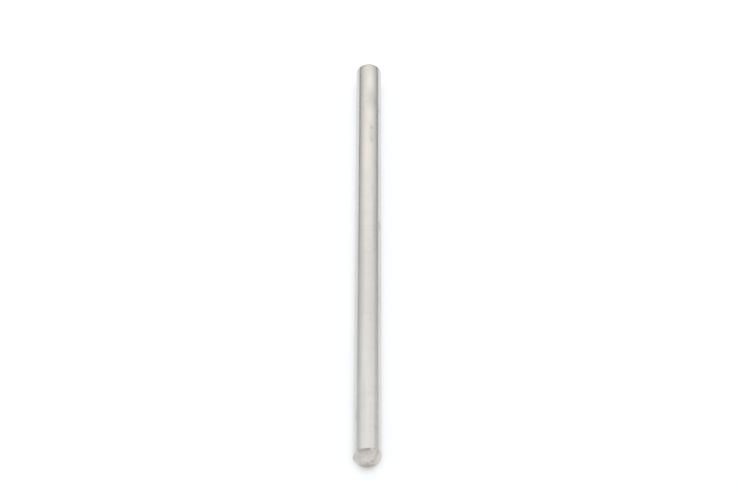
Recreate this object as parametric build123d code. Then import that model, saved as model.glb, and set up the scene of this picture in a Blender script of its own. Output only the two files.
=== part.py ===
from build123d import *
import math
import os

# A long parallel dowel pin, made in one piece from a ground steel bar.
# The pin lies along Y. The origin is on its axis, halfway along it, and +Z is up.
# The end at -Y has a tapered lead and a domed face. The end at +Y is cut square.

# Driving dimensions, in millimetres and degrees
pin_diameter = 5.0
pin_length = 100.0      # over everything, from the middle of the domed face to the square end
lead_length = 1.05      # along the axis, from the shank to the edge of the domed face
lead_angle = 33.0       # between the lead's surface and the axis
dome_height = 0.5       # how far the domed face stands out in its middle
rim_radius = 0.5        # rounding where the dome meets the lead, and where the square end meets the shank

# Sizes that follow from them
shank_radius = pin_diameter / 2
half_length = pin_length / 2
dome_edge = -half_length + dome_height
dome_edge_radius = shank_radius - lead_length * math.tan(math.radians(lead_angle))
lead_start = dome_edge + lead_length


def half_section():
    """Half of the pin's lengthwise section: X is the distance from the axis, and Y runs along it."""
    with BuildSketch(Plane.XY) as section:
        with BuildLine():
            TangentArc((0, -half_length), (dome_edge_radius, dome_edge), tangent=(1, 0))
            Polyline((dome_edge_radius, dome_edge), (shank_radius, lead_start), (shank_radius, half_length))
            Polyline((shank_radius, half_length), (0, half_length), (0, -half_length))
        make_face()
        rims = [corner for corner in section.vertices() if is_rim(corner)]
        fillet(rims, radius=rim_radius)
    return section.sketch


def is_rim(corner):
    """True where the dome meets the lead, and where the square end meets the shank."""
    at_dome_edge = math.isclose(corner.X, dome_edge_radius)
    at_square_end = math.isclose(corner.Y, half_length) and math.isclose(corner.X, shank_radius)
    return at_dome_edge or at_square_end


def dowel_pin():
    """The whole pin, turned about its axis: the domed face, the lead, the shank and the square end."""
    with BuildPart() as pin:
        add(half_section())
        revolve(axis=Axis.Y)
    pin.part.label = "dowel_pin"
    return pin.part


os.makedirs("parts", exist_ok=True)
export_step(dowel_pin(), "parts/dowel_pin.step")
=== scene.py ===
# A ground steel dowel pin lying on a white studio floor, seen from above its tapered end.
import math

import bpy
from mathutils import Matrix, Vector, noise


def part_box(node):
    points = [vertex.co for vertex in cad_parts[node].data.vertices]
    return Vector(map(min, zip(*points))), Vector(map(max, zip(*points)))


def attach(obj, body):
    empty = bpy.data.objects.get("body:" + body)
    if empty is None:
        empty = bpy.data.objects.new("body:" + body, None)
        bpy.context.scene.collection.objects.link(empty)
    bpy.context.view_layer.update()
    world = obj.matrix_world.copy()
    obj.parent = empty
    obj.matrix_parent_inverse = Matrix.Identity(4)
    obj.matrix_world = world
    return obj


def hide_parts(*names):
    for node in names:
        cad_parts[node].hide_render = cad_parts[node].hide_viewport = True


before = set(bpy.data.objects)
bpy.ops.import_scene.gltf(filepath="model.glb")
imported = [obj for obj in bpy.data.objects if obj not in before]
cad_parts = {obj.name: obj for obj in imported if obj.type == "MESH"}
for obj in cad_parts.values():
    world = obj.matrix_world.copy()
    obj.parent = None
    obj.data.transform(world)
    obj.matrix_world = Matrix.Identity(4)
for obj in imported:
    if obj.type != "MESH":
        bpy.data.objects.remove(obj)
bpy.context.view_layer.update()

# Sizes read from the CAD pin, in metres. The pin lies along Y, and its axis passes through the origin.
pin_low, pin_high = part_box("dowel_pin")
pin_length = pin_high.y - pin_low.y
pin_radius = (pin_high.z - pin_low.z) / 2
pin_diameter = 2 * pin_radius
floor_height = pin_low.z
millimetre = 0.001


def cad_sections():
    """The CAD pin's outline from the near end on, as (distance along the pin, distance from the axis)."""
    digits = 6
    found = set()
    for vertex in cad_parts["dowel_pin"].data.vertices:
        x, y, z = vertex.co
        found.add((round(y, digits), round(math.hypot(x, z), digits)))
    return sorted(found)


sections = cad_sections()
cad_radius = max(radius for along, radius in sections)
near_end = sections[0][0]
far_end = sections[-1][0]
lead_start = min(along for along, radius in sections if radius == cad_radius)

# The photograph's camera, with its place and aim in pin diameters
image_width = 738
camera_elevation = math.radians(46.44)
camera_azimuth = math.radians(0.143)
camera_distance = 85.18 * pin_diameter
camera_aim = Vector((0.0343, 0.3456, 0.0)) * pin_diameter
focal_pixels = 2271.5
sensor_width = 36.0
nearest_seen = pin_length / 10
furthest_seen = pin_length * 1000


def add_camera():
    data = bpy.data.cameras.new("camera")
    data.sensor_width = sensor_width
    data.lens = focal_pixels * sensor_width / image_width
    data.clip_start = nearest_seen
    data.clip_end = furthest_seen
    camera = bpy.data.objects.new("camera", data)
    back = Vector((
        math.sin(camera_azimuth) * math.cos(camera_elevation),
        -math.cos(camera_azimuth) * math.cos(camera_elevation),
        math.sin(camera_elevation),
    ))
    camera.location = camera_aim + back * camera_distance
    camera.rotation_mode = "QUATERNION"
    camera.rotation_quaternion = (-back).to_track_quat("-Z", "Y")
    bpy.context.scene.collection.objects.link(camera)
    bpy.context.scene.camera = camera


def node(tree, kind, inputs=None, **settings):
    """A new shader node with its settings. An input is a plain value or the socket that feeds it."""
    made = tree.nodes.new(kind)
    for name, value in settings.items():
        setattr(made, name, value)
    for name, value in (inputs or {}).items():
        if isinstance(value, bpy.types.NodeSocket):
            tree.links.new(value, made.inputs[name])
        else:
            made.inputs[name].default_value = value
    return made


def math_node(tree, operation, first, second=0.0):
    return node(tree, "ShaderNodeMath", {0: first, 1: second}, operation=operation).outputs[0]


def vector_math(tree, operation, first, second):
    return node(tree, "ShaderNodeVectorMath", {0: first, 1: second}, operation=operation).outputs[0]


def remap(tree, value, low, high, low_result, high_result):
    """The value carried smoothly from one range to another and held at its ends."""
    inputs = {"Value": value, "From Min": low, "From Max": high, "To Min": low_result, "To Max": high_result}
    return node(tree, "ShaderNodeMapRange", inputs, interpolation_type="SMOOTHSTEP").outputs["Result"]


# The numbers of the Mix node's sockets that hold its factor and its colours
mix_factor = 0
mix_first = 6
mix_second = 7
mix_result = 2


def mix_colour(tree, factor, first, second):
    inputs = {mix_factor: factor, mix_first: first, mix_second: second}
    return node(tree, "ShaderNodeMix", inputs, data_type="RGBA").outputs[mix_result]


def colour_ramp(tree, value, stops):
    """A grey level for each value, worked out between stops of (value, level)."""
    ramp = node(tree, "ShaderNodeValToRGB", {"Fac": value})
    elements = ramp.color_ramp.elements
    any_place = 0.5
    while len(elements) < len(stops):
        elements.new(any_place)
    for element, (position, level) in zip(elements, stops):
        element.position = position
        element.color = (level, level, level, 1)
    return ramp.outputs["Color"]


# The studio's brightness at each height above the horizon, in degrees. Behind the pin it has a dark wall low
# down, which the shank mirrors. On the camera's side it is bright low down, which the near end mirrors.
far_side_levels = (
    (0, 0.12),
    (3, 0.12),
    (7, 0.51),
    (19, 0.70),
    (34, 0.94),
    (42, 1.07),
    (47, 0.96),
    (50, 0.955),
    (54, 1.08),
    (62, 0.88),
    (75, 0.5),
    (90, 0.42),
)
camera_side_levels = (
    (0, 0.95),
    (15, 0.88),
    (35, 0.80),
    (50, 0.80),
    (65, 0.74),
    (75, 0.56),
    (90, 0.42),
)
wall_lift = 0.56                # how much brighter the wall is towards the sides than straight behind the pin
wall_top = math.sin(math.radians(14))
wall_middle = math.sin(math.radians(5))

# A direction's Y says which stretch of the shank mirrors it: 0.63 at the near end, and 0.74 at the far end.
# These are ranges of Y.
lift_starts = (0.38, 0.52)
lift_fades = (0.60, 0.70)
dimming_fades = (0.62, 0.72)
warmth_grows = (0.60, 0.72)
camera_side_ends = (-0.05, 0.15)

# The corners of the camera's side are dark low down too. They start in a range of X and end in a range of Y.
corner_shade = 0.65
corner_starts = (0.25, 0.42)
corner_ends = (-0.6, -0.45)
corner_top = math.sin(math.radians(12))
corner_bottom = math.sin(math.radians(3))

# The near half of the shank mirrors the studio a little dimmer on both sides of its middle.
right_dimming = 0.11
left_dimming = 0.07
far_half_share = 0.15           # how much of that dimming the far half has

# The far half mirrors warmer light in its middle and cooler light on its right.
warmth_on_right = 0.1
plain_light = (1.0, 0.997, 0.99, 1)
warm_light = (1.0, 0.965, 0.905, 1)
cool_light = (0.96, 0.99, 1.04, 1)
white = (1, 1, 1, 1)

# These are ranges of X, for the dimming and for the warmer and cooler light.
dimming_starts = (0.05, 0.40)
dimming_ends = (0.45, 0.64)
warmth_ends = (0.30, 0.62)
coolness_starts = (0.60, 0.72)


def level_by_height(tree, height, levels):
    return colour_ramp(tree, height, [(math.sin(math.radians(degrees)), level) for degrees, level in levels])


def dimming(tree, x, y):
    """The share of light that is lost a little off the middle of the shank."""
    right = remap(tree, x, *dimming_starts, 0.0, right_dimming)
    left = remap(tree, math_node(tree, "MULTIPLY", x, -1.0), *dimming_starts, 0.0, left_dimming)
    off_middle = math_node(tree, "ADD", right, left)
    inside = remap(tree, math_node(tree, "ABSOLUTE", x), *dimming_ends, 1.0, 0.0)
    nearer_half = remap(tree, y, *dimming_fades, 1.0, far_half_share)
    return math_node(tree, "MULTIPLY", math_node(tree, "MULTIPLY", off_middle, inside), nearer_half)


def lift_of_wall(tree, y, height):
    """How much light the dark wall gains towards its sides."""
    rising = remap(tree, y, *lift_starts, 0.0, wall_lift)
    fading = remap(tree, y, *lift_fades, 1.0, 0.0)
    low_down = remap(tree, height, wall_middle, wall_top, 1.0, 0.0)
    return math_node(tree, "MULTIPLY", math_node(tree, "MULTIPLY", rising, fading), low_down)


def far_side(tree, x, y, height):
    """The studio behind the pin, with its dark low wall."""
    level = level_by_height(tree, height, far_side_levels)
    level = math_node(tree, "ADD", level, lift_of_wall(tree, y, height))
    return math_node(tree, "MULTIPLY", level, math_node(tree, "SUBTRACT", 1.0, dimming(tree, x, y)))


def camera_side(tree, x, y, height):
    """The studio on the camera's side, with its dark low corners."""
    level = level_by_height(tree, height, camera_side_levels)
    sideways = remap(tree, math_node(tree, "ABSOLUTE", x), *corner_starts, 0.0, corner_shade)
    low_down = remap(tree, height, corner_bottom, corner_top, 1.0, 0.0)
    behind = remap(tree, y, *corner_ends, 1.0, 0.0)
    shade = math_node(tree, "MULTIPLY", math_node(tree, "MULTIPLY", sideways, low_down), behind)
    return math_node(tree, "MULTIPLY", level, math_node(tree, "SUBTRACT", 1.0, shade))


def studio_tint(tree, x, y):
    """Plain light, with warmer light for the middle of the far half and cooler light for its right side."""
    further = remap(tree, y, *warmth_grows, 0.0, 1.0)
    warmth = math_node(tree, "MULTIPLY", further, remap(tree, x, *warmth_ends, 1.0, warmth_on_right))
    coolness = math_node(tree, "MULTIPLY", further, remap(tree, x, *coolness_starts, 0.0, 1.0))
    return mix_colour(tree, coolness, mix_colour(tree, warmth, plain_light, warm_light), cool_light)


def light_world():
    """A plain studio for the steel to reflect, and white behind everything for the camera."""
    world = bpy.data.worlds.new("studio")
    bpy.context.scene.world = world
    world.use_nodes = True
    tree = world.node_tree
    tree.nodes.clear()
    direction = node(tree, "ShaderNodeTexCoord").outputs["Generated"]
    parts = node(tree, "ShaderNodeSeparateXYZ", {0: direction})
    x, y, height = parts.outputs["X"], parts.outputs["Y"], parts.outputs["Z"]
    behind_pin = remap(tree, y, *camera_side_ends, 0.0, 1.0)
    level = mix_colour(tree, behind_pin, camera_side(tree, x, y, height), far_side(tree, x, y, height))
    light = node(tree, "ShaderNodeBackground", {"Color": studio_tint(tree, x, y), "Strength": level})
    plain_white = node(tree, "ShaderNodeBackground", {"Color": white, "Strength": 1.0})
    for_camera = node(tree, "ShaderNodeLightPath").outputs["Is Camera Ray"]
    seen = node(tree, "ShaderNodeMixShader", {0: for_camera, 1: light.outputs[0], 2: plain_white.outputs[0]})
    node(tree, "ShaderNodeOutputWorld", {"Surface": seen.outputs[0]})


# The floor: a matt share that takes shadows, and a share of plain white glow that fades close under the pin,
# a painted contact shadow
floor_radius = 40 * pin_length
floor_colour = (0.44, 0.445, 0.455, 1)
floor_glow = 0.700
mirrored_glow = 0.56

# The floor's tint: the steel mirrors it cooler on the left and warmer on the right
left_floor = (0.965, 0.98, 1.0, 1)
right_floor = (1.0, 0.975, 0.925, 1)
seen_floor = (0.98, 0.995, 1.005, 1)
tint_change = 5 * pin_diameter

# The painted contact shadow under the pin: the glow fades from an openness of full_contact up to those of
# fully_lit
contact_reach = pin_radius
contact_samples = 8
contact_level = 0.3
mirrored_contact_level = 0.55
full_contact = 0.05
mirrored_fully_lit = 0.6
left_fully_lit = 0.76
right_fully_lit = 0.7
lit_change = 0.8 * pin_diameter

# Where the steel shows the floor less bright: distances beside the pin, with the levels there, and distances
# at which the lit area ends. In front of the pin it doesn't end.
beside_pin = (0.7 * pin_diameter, 4 * pin_diameter)
levels_beside_pin = (1.14, 0.92)
lit_area_on_right = (7 * pin_diameter, 14 * pin_diameter)
lit_area_on_left = (12 * pin_diameter, 24 * pin_diameter)
front_of_pin = (-11 * pin_diameter, -10 * pin_diameter)


def reach_of_light(tree, x, y):
    """How bright the steel shows the floor: brightest beside the pin, and dark past the studio's lit area."""
    level = remap(tree, math_node(tree, "ABSOLUTE", x), *beside_pin, *levels_beside_pin)
    on_right = remap(tree, x, *lit_area_on_right, 1.0, 0.0)
    on_left = remap(tree, math_node(tree, "MULTIPLY", x, -1.0), *lit_area_on_left, 1.0, 0.0)
    in_front = remap(tree, y, *front_of_pin, 1.0, 0.0)
    lit = math_node(tree, "MAXIMUM", math_node(tree, "MULTIPLY", on_right, on_left), in_front)
    return math_node(tree, "MULTIPLY", level, lit)


def seen_strength(tree, is_camera, openness, x):
    """How strongly the floor glows where the camera sees it itself."""
    glow = math_node(tree, "MULTIPLY", is_camera, floor_glow)
    fully_lit = remap(tree, x, -lit_change, lit_change, left_fully_lit, right_fully_lit)
    # Painted contact shadow: the glow fades where the floor is less open
    contact = remap(tree, openness, full_contact, fully_lit, contact_level, 1.0)
    return math_node(tree, "MULTIPLY", glow, contact)


def mirrored_strength(tree, is_mirrored, openness, x, y):
    """How strongly the floor glows where the steel mirrors it."""
    glow = math_node(tree, "MULTIPLY", is_mirrored, mirrored_glow)
    # Painted contact shadow in what the steel mirrors
    contact = remap(tree, openness, full_contact, mirrored_fully_lit, mirrored_contact_level, 1.0)
    return math_node(tree, "MULTIPLY", math_node(tree, "MULTIPLY", glow, contact), reach_of_light(tree, x, y))


def floor_tint(tree, is_camera, x):
    """The glow's colour: plain for the camera, and changing from left to right for the steel."""
    side = remap(tree, x, -tint_change, tint_change, 0.0, 1.0)
    mirrored_tint = mix_colour(tree, side, left_floor, right_floor)
    return mix_colour(tree, is_camera, mirrored_tint, seen_floor)


def floor_material():
    material = bpy.data.materials.new("white_floor")
    material.use_nodes = True
    tree = material.node_tree
    tree.nodes.clear()
    place = node(tree, "ShaderNodeSeparateXYZ", {0: node(tree, "ShaderNodeTexCoord").outputs["Object"]})
    x, y = place.outputs["X"], place.outputs["Y"]
    contact = node(tree, "ShaderNodeAmbientOcclusion", {"Distance": contact_reach}, samples=contact_samples)
    openness = contact.outputs["AO"]
    path = node(tree, "ShaderNodeLightPath").outputs
    is_mirrored = math_node(tree, "MAXIMUM", path["Is Glossy Ray"], path["Is Transmission Ray"])
    seen = seen_strength(tree, path["Is Camera Ray"], openness, x)
    strength = math_node(tree, "MAXIMUM", seen, mirrored_strength(tree, is_mirrored, openness, x, y))
    tint = floor_tint(tree, path["Is Camera Ray"], x)
    glow = node(tree, "ShaderNodeEmission", {"Color": tint, "Strength": strength})
    matt = node(tree, "ShaderNodeBsdfDiffuse", {"Color": floor_colour})
    both = node(tree, "ShaderNodeAddShader", {0: matt.outputs[0], 1: glow.outputs[0]})
    node(tree, "ShaderNodeOutputMaterial", {"Surface": both.outputs[0]})
    return material


def add_floor():
    mesh = bpy.data.meshes.new("floor")
    r = floor_radius
    corners = [(-r, -r, floor_height), (r, -r, floor_height), (r, r, floor_height), (-r, r, floor_height)]
    mesh.from_pydata(corners, [], [(0, 1, 2, 3)])
    mesh.materials.append(floor_material())
    floor = bpy.data.objects.new("floor", mesh)
    bpy.context.scene.collection.objects.link(floor)


def millimetre_coordinates(tree):
    """The place on the pin in millimetres, so that every scale below is a number for each millimetre."""
    place = node(tree, "ShaderNodeTexCoord").outputs["Object"]
    scaled = node(tree, "ShaderNodeVectorMath", {0: place, "Scale": 1 / millimetre}, operation="SCALE")
    return scaled.outputs[0]


def stretched_noise(tree, place, grain, detail=2.0, distortion=0.0):
    """Noise with its own grain along each axis: the larger the number, the finer the noise."""
    stretched = vector_math(tree, "MULTIPLY", place, grain)
    inputs = {"Vector": stretched, "Scale": 1.0, "Detail": detail, "Distortion": distortion}
    return node(tree, "ShaderNodeTexNoise", inputs).outputs["Fac"]


# Marks on the shank: millimetres from the middle towards the far end, degrees clockwise from the top as seen
# from the tapered end, half length and half width in millimetres, and strength
# The dull marks: the short ones are dull specks, and the long streaks at the end of the list are painted
# shade, darker bands along the shank where its reflection is darker.
dull_marks_and_painted_shade = (
    (39.4, 16, 3.4, 1.2, 0.2),
    (39.0, 30, 2.4, 0.6, 0.3),
    (31.3, 14, 0.9, 0.45, 0.35),
    (29.6, 15, 3.2, 0.8, 0.12),
    (28.2, 13, 1.3, 0.4, 0.3),
    (37.3, 55, 1.2, 0.5, 0.25),
    (21.6, 41, 0.5, 0.6, 0.2),
    (14.3, 20, 2.0, 0.5, 0.12),
    (5.6, 60, 1.3, 0.7, 0.35),
    (-1.2, 31, 0.35, 1.0, 0.3),
    (-11.3, 8, 1.3, 0.4, 0.15),
    (-14.9, 23, 0.4, 0.9, 0.2),
    (-13.3, 49, 1.0, 0.5, 0.2),
    (-35.2, -17, 0.4, 0.6, 0.08),
    (-40.4, -48, 1.4, 0.4, 0.2),
    (-43.4, 38, 0.5, 0.7, 0.2),
    (-14.0, 20, 22.0, 1.5, 0.12),
    (5.0, 29, 11.0, 0.6, 0.2),
    (-8.0, -21, 18.0, 0.5, 0.12),
    (-38.0, -18, 8.0, 0.6, 0.1),
    (-10.0, 65, 15.0, 0.6, 0.2),
)
bright_marks = (
    (44.8, 9, 3.0, 1.0, 0.8),
    (35.3, 4, 3.0, 1.1, 0.55),
    (25.0, -10, 9.0, 1.1, 0.6),
    (-47.0, 8, 3.5, 1.7, 0.2),
)
mark_wavering = 0.6
mark_depth = 1.0                # in millimetres, across the unrolled surface

# The outlines of marks and patches: the noise that makes them waver, and the shares of a spot's half size
# between which it fades out
waver_scale = 1.3
waver_detail = 2.0
middle_of_noise = (0.5, 0.5, 0.5)
spot_fading = (0.2, 1.3)


def wavering(tree, place, moved, size):
    """The moved place shifted about a little, so that what is drawn there gets an uneven outline."""
    inputs = {"Vector": place, "Scale": waver_scale, "Detail": waver_detail}
    wobble = node(tree, "ShaderNodeTexNoise", inputs).outputs["Color"]
    wobble = vector_math(tree, "SUBTRACT", wobble, middle_of_noise)
    wobble = vector_math(tree, "MULTIPLY", wobble, (size, size, size))
    return vector_math(tree, "ADD", moved, wobble)


def soft_spot(tree, place, middle, half_sizes, strength):
    """A spot that fades out from its middle."""
    shrink = tuple(1 / half_size for half_size in half_sizes)
    away = vector_math(tree, "MULTIPLY", vector_math(tree, "SUBTRACT", place, middle), shrink)
    distance = node(tree, "ShaderNodeVectorMath", {0: away}, operation="LENGTH").outputs["Value"]
    return remap(tree, distance, *spot_fading, strength, 0.0)


def strongest(tree, spots):
    total = spots[0]
    for spot in spots[1:]:
        total = math_node(tree, "MAXIMUM", total, spot)
    return total


def unrolled(tree, place):
    """The shank's surface laid flat: millimetres round it from its top line, and millimetres along it."""
    parts = node(tree, "ShaderNodeSeparateXYZ", {0: place})
    angle = math_node(tree, "ARCTAN2", parts.outputs["X"], parts.outputs["Z"])
    round_it = math_node(tree, "MULTIPLY", angle, pin_radius / millimetre)
    return node(tree, "ShaderNodeCombineXYZ", {0: round_it, 1: parts.outputs["Y"]}).outputs[0]


def shank_marks(tree, place, marks):
    """How strongly each point of the shank is marked, from 0 to 1."""
    flat_place = wavering(tree, place, unrolled(tree, place), mark_wavering)
    spots = []
    for along, degrees, half_length, half_width, strength in marks:
        middle = (math.radians(degrees) * pin_radius / millimetre, along, 0.0)
        spots.append(soft_spot(tree, flat_place, middle, (half_width, half_length, mark_depth), strength))
    return strongest(tree, spots)


# Patches on the near end, seen along the axis: millimetres right and up from the axis, half width and half
# height in millimetres, and strength
# The dark patches are painted shade: they darken the lead along its top and the face along its bottom, where
# the end mirrors the dark studio and the shade under the pin.
painted_shade_patches = (
    (-1.45, 1.85, 0.35, 0.15, 0.6),
    (-1.1, 2.08, 0.4, 0.13, 0.8),
    (-0.6, 2.28, 0.5, 0.11, 0.75),
    (0.1, 2.33, 0.6, 0.1, 0.6),
    (1.4, 2.12, 0.35, 0.12, 0.6),
    (-0.1, -0.6, 1.6, 1.2, 0.8),
    (0.9, -0.3, 0.7, 0.55, 0.75),
    (0.95, 0.6, 0.6, 0.6, 0.55),
    (-0.1, 0.5, 0.7, 0.35, 0.5),
    (-1.5, 0.6, 0.7, 0.9, 0.25),
    (-2.25, 0.4, 0.4, 0.8, 0.45),
)
# The light patches are painted highlights: they lighten the lead and the face where the end mirrors brighter
# surroundings.
painted_highlight_patches = (
    (0.85, 2.3, 0.35, 0.35, 0.5),
    (0.1, 1.9, 0.7, 0.25, 0.6),
    (-0.3, 1.4, 0.8, 0.5, 0.15),
    (1.2, 1.7, 0.6, 0.35, 0.5),
    (2.1, 1.0, 0.45, 0.9, 0.6),
)
patch_wavering = 0.25
patch_depth = 10.0              # in millimetres, so that a patch covers the face and the lead alike


def end_patches(tree, place, patches):
    """How strongly each point of the near end is covered by patches, from 0 to 1."""
    place = wavering(tree, place, place, patch_wavering)
    end = -pin_length / 2 / millimetre
    spots = []
    for right, up, half_width, half_height, strength in patches:
        half_sizes = (half_width, patch_depth, half_height)
        spots.append(soft_spot(tree, place, (right, end, up), half_sizes, strength))
    return strongest(tree, spots)


def new_steel(name):
    material = bpy.data.materials.new(name)
    material.use_nodes = True
    shader = material.node_tree.nodes["Principled BSDF"]
    shader.inputs["Metallic"].default_value = 1.0
    return material, material.node_tree, shader


def add_bump(tree, shader, height, strength, depth):
    bump = node(tree, "ShaderNodeBump", {"Strength": strength, "Distance": depth, "Height": height})
    tree.links.new(bump.outputs[0], shader.inputs["Normal"])


# The shank's steel
shank_darker = (0.765, 0.757, 0.742, 1)
shank_lighter = (0.79, 0.787, 0.78, 1)
shank_line = (0.70, 0.69, 0.67, 1)
shank_bright = (0.845, 0.84, 0.825, 1)
# The dull marks' colour, which is also the painted shade of their long streaks
dull_and_shade_colour = (0.42, 0.395, 0.37, 1)
cloud_grain = (0.35, 0.12, 0.35)
cloud_range = (0.35, 0.65)              # the values of the noise between which the colour changes
fine_line_grain = (0.25, 9.0, 0.25)
fine_line_range = (0.3, 0.7)
fine_line_strength = 0.2
broad_line_grain = (0.3, 1.4, 0.3)
broad_line_range = (0.35, 0.7)
broad_line_strength = 0.17
shank_roughness = (0.18, 0.24)
dull_roughness = 0.18                   # how much rougher a dull mark is
shank_bump = 0.12
shank_bump_depth = 0.002 * millimetre
# Painted shade at the far end: the shank is darkened and browned towards the rim, where its reflection is
# darker
far_rim_painted_shade = (0.55, 0.50, 0.445, 1)
far_rim_reach = 1.6                     # how far down the shank the far end is browner, in millimetres
far_rim_strength = 0.32


def painted_rim_shade(tree, place):
    """How strongly painted shade darkens and browns the shank towards the far end's rim."""
    end = pin_length / 2 / millimetre
    along = node(tree, "ShaderNodeSeparateXYZ", {0: place}).outputs["Y"]
    return remap(tree, along, end - far_rim_reach, end, 0.0, far_rim_strength)


def ground_colour(tree, place, fine_lines):
    """The shank's colour before it was handled: clouds of darker steel, and grinding lines."""
    clouds = stretched_noise(tree, place, cloud_grain, detail=3.0, distortion=0.4)
    colour = mix_colour(tree, remap(tree, clouds, *cloud_range, 0.0, 1.0), shank_darker, shank_lighter)
    fine = remap(tree, fine_lines, *fine_line_range, 0.0, fine_line_strength)
    colour = mix_colour(tree, fine, colour, shank_line)
    broad_lines = stretched_noise(tree, place, broad_line_grain)
    broad = remap(tree, broad_lines, *broad_line_range, 0.0, broad_line_strength)
    return mix_colour(tree, broad, colour, shank_line)


def ground_steel():
    """The ground shank: lines round the pin, faint clouds, dull and lighter marks, long streaks of painted
    shade, and painted shade on the far rim.
    """
    material, tree, shader = new_steel("ground_steel")
    place = millimetre_coordinates(tree)
    fine_lines = stretched_noise(tree, place, fine_line_grain, detail=3.0)
    dull_and_painted_shade = shank_marks(tree, place, dull_marks_and_painted_shade)
    colour = ground_colour(tree, place, fine_lines)
    colour = mix_colour(tree, shank_marks(tree, place, bright_marks), colour, shank_bright)
    # Dull specks, and painted shade along the long streaks
    colour = mix_colour(tree, dull_and_painted_shade, colour, dull_and_shade_colour)
    # Painted shade towards the far rim
    colour = mix_colour(tree, painted_rim_shade(tree, place), colour, far_rim_painted_shade)
    tree.links.new(colour, shader.inputs["Base Color"])
    plain_roughness = remap(tree, fine_lines, *fine_line_range, *shank_roughness)
    extra_roughness = math_node(tree, "MULTIPLY", dull_and_painted_shade, dull_roughness)
    roughness = math_node(tree, "ADD", plain_roughness, extra_roughness)
    tree.links.new(roughness, shader.inputs["Roughness"])
    add_bump(tree, shader, fine_lines, shank_bump, shank_bump_depth)
    return material


# The near end's steel
cut_darker = (0.69, 0.657, 0.622, 1)
cut_lighter = (0.76, 0.728, 0.694, 1)
# The colour of the painted highlights on the near end
painted_highlight_on_cut = (0.82, 0.785, 0.75, 1)
# The colour of the painted shade on the near end
painted_shade_on_cut = (0.42, 0.38, 0.34, 1)
mottling_grain = (1.1, 1.1, 1.1)
mottling_range = (0.32, 0.68)
cut_grain = (6.0, 6.0, 6.0)
cut_grain_range = (0.3, 0.7)
cut_roughness = (0.34, 0.46)
cut_bump = 0.35
cut_bump_depth = 0.02 * millimetre


def cut_steel():
    """The near end: duller and browner than the shank, with patches of painted shade and painted highlight.
    """
    material, tree, shader = new_steel("cut_steel")
    place = millimetre_coordinates(tree)
    mottling = stretched_noise(tree, place, mottling_grain, detail=4.0, distortion=0.6)
    colour = mix_colour(tree, remap(tree, mottling, *mottling_range, 0.0, 1.0), cut_darker, cut_lighter)
    # Painted highlights on the near end
    colour = mix_colour(tree, end_patches(tree, place, painted_highlight_patches), colour, painted_highlight_on_cut)
    # Painted shade on the near end
    colour = mix_colour(tree, end_patches(tree, place, painted_shade_patches), colour, painted_shade_on_cut)
    tree.links.new(colour, shader.inputs["Base Color"])
    grain = stretched_noise(tree, place, cut_grain, detail=4.0)
    tree.links.new(remap(tree, grain, *cut_grain_range, *cut_roughness), shader.inputs["Roughness"])
    add_bump(tree, shader, grain, cut_bump, cut_bump_depth)
    return material


# The pin's mesh: rings round the axis, in steps no longer than these
around = 160
end_step = 0.018 * pin_diameter
shank_step = 0.25 * pin_diameter
sharpest_curve = math.radians(25)       # a larger turn between two CAD rings is a true corner

# The near end is a little uneven. Its lead runs further up the pin on the right, its face sits a little to
# the right and is worn at the bottom, and its cut surface is rough.
# The lead's edge: degrees clockwise from the top as seen from the near end, and how many diameters up the pin
# it runs
lead_edge = (
    (-180, 0.0),
    (-90, -0.01),
    (-60, 0.005),
    (-45, 0.02),
    (-30, 0.055),
    (0, 0.035),
    (32, 0.085),
    (60, 0.12),
    (90, 0.07),
    (120, 0.0),
    (180, 0.0),
)
edge_power = 3                          # the higher, the nearer to the edge the lead's unevenness stays
face_right = 0.015 * pin_diameter
face_rise = 0.105 * pin_diameter
wear_power = 2                          # the higher, the nearer to the bottom the wear stays
rough_depth = 0.01 * pin_diameter
rough_size = 0.2 * pin_diameter
rough_fading = 4                        # the roughness fades out over the last quarter of the way up the lead
rough_layers = 3
rough_refining = 2.0                    # how many times finer each layer of the roughness is than the last
rough_weakening = 1.0                   # how fast the layers grow weaker


def heading(before, here, after):
    """The outline's direction at one of its points, for a curve through it and its neighbours."""
    coming, going = here - before, after - here
    weighted = coming.normalized() * going.length + going.normalized() * coming.length
    return weighted.normalized()


def headings(before, start, end, after):
    """The outline's directions at both ends of a stretch, which keeps its own direction at a true corner."""
    own = (end - start).normalized()
    at_start = heading(before, start, end)
    at_end = heading(start, end, after)
    if (start - before).angle(end - start) > sharpest_curve:
        at_start = own
    if (end - start).angle(after - end) > sharpest_curve:
        at_end = own
    return at_start, at_end


def curve_point(start, end, start_heading, end_heading, t):
    """A point part of the way along a smooth curve between two points of the outline."""
    length = (end - start).length
    from_start = (2 * t ** 3 - 3 * t ** 2 + 1) * start + (t ** 3 - 2 * t ** 2 + t) * length * start_heading
    from_end = (3 * t ** 2 - 2 * t ** 3) * end + (t ** 3 - t ** 2) * length * end_heading
    return from_start + from_end


def outline_stops():
    """The outline from axis to axis, with one more point past each end for the curve's direction there."""
    stops = [Vector(section) for section in sections]
    if stops[-1].y > 0:
        stops.append(Vector((stops[-1].x, 0.0)))
    mirrored_start = Vector((stops[1].x, -stops[1].y))
    mirrored_end = Vector((stops[-2].x, -stops[-2].y))
    return [mirrored_start] + stops + [mirrored_end]


def ring_steps():
    """Rings from the near end's centre to the far end's centre: (distance along, distance from the axis)."""
    stops = outline_stops()
    rings = []
    for before, start, end, after in zip(stops, stops[1:], stops[2:], stops[3:]):
        start_heading, end_heading = headings(before, start, end, after)
        on_shank = start.y == end.y
        step = shank_step if on_shank else end_step
        count = max(1, round((end - start).length / step))
        for i in range(count):
            point = curve_point(start, end, start_heading, end_heading, i / count)
            rings.append((min(point.x, far_end), min(point.y, cad_radius)))
    rings.append((stops[-2].x, 0.0))
    return rings


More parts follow.
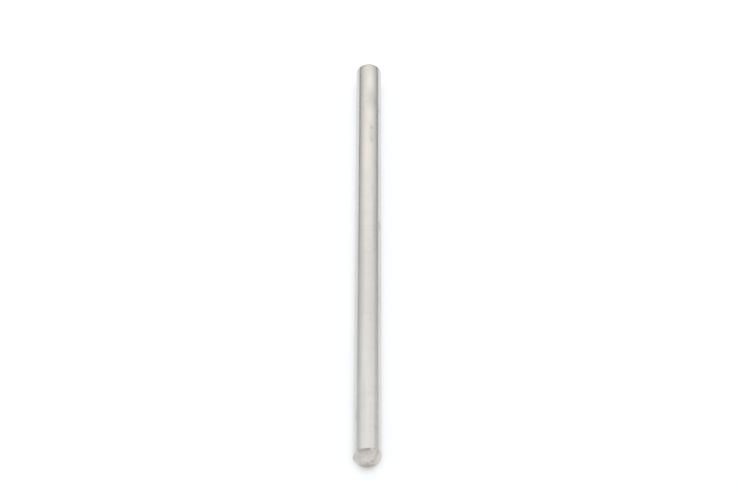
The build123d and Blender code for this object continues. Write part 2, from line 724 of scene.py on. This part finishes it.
def relief(x, z):
    """How deep the near end is worn at a point of its face or lead, seen along the axis."""
    place = Vector((x, z, 0)) / rough_size
    return rough_depth * (0.5 + 0.5 * noise.fractal(place, rough_weakening, rough_refining, rough_layers))


def lead_reach(angle):
    """How far up the pin the lead runs at an angle."""
    degrees = math.degrees(math.remainder(angle, 2 * math.pi))
    for (start, low), (end, high) in zip(lead_edge, lead_edge[1:]):
        if degrees <= end:
            t = (degrees - start) / (end - start)
            return (low + (high - low) * t * t * (3 - 2 * t)) * pin_diameter
    return lead_edge[-1][1] * pin_diameter


def ring_point(along, radius, angle):
    """A point of the pin's surface, with the unevenness of its near end."""
    x = radius * math.sin(angle)
    z = radius * math.cos(angle)
    if along <= lead_start:
        up_the_lead = (along - near_end) / (lead_start - near_end)
        below_top = (1 - math.cos(angle)) / 2
        along += up_the_lead ** edge_power * lead_reach(angle)
        along += relief(x, z) * min(1.0, rough_fading * (1 - up_the_lead))
        x += face_right * (1 - up_the_lead)
        z += face_rise * (1 - up_the_lead) * below_top ** wear_power
    return x, along, z


def pin_points(rings):
    """The near end's centre, every ring from there on, and the far end's centre."""
    scale = pin_radius / cad_radius
    points = [ring_point(rings[0][0], 0.0, 0.0)]
    for along, radius in rings[1:-1]:
        points += [ring_point(along, radius * scale, 2 * math.pi * k / around) for k in range(around)]
    points.append((0.0, rings[-1][0], 0.0))
    return points


def pin_faces(last):
    """Triangles round both centres, and four-sided faces between rings. The last point is the far centre."""
    last_ring = last - around
    faces = [(0, 1 + (k + 1) % around, 1 + k) for k in range(around)]
    for here in range(1, last_ring, around):
        there = here + around
        for k in range(around):
            after = (k + 1) % around
            faces.append((here + k, here + after, there + after, there + k))
    faces += [(last_ring + k, last_ring + (k + 1) % around, last) for k in range(around)]
    return faces


def set_off_near_end(mesh, rings):
    """Gives the face and the lead the second material, and a sharp edge where the lead meets the shank."""
    lead_rings = sum(along <= lead_start for along, radius in rings) - 1
    for face in mesh.polygons[:lead_rings * around]:
        face.material_index = 1
    edge_ring = range(1 + (lead_rings - 1) * around, 1 + lead_rings * around)
    for edge in mesh.edges:
        edge.use_edge_sharp = all(corner in edge_ring for corner in edge.vertices)


def pin_mesh():
    rings = ring_steps()
    points = pin_points(rings)
    mesh = bpy.data.meshes.new("pin")
    mesh.from_pydata(points, [], pin_faces(len(points) - 1))
    mesh.shade_smooth()
    mesh.materials.append(ground_steel())
    mesh.materials.append(cut_steel())
    set_off_near_end(mesh, rings)
    return mesh


def add_pin():
    pin = bpy.data.objects.new("steel_pin", pin_mesh())
    bpy.context.scene.collection.objects.link(pin)
    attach(pin, "root")
    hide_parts("dowel_pin")


bpy.context.scene.view_settings.view_transform = "Standard"
add_camera()
light_world()
add_floor()
add_pin()
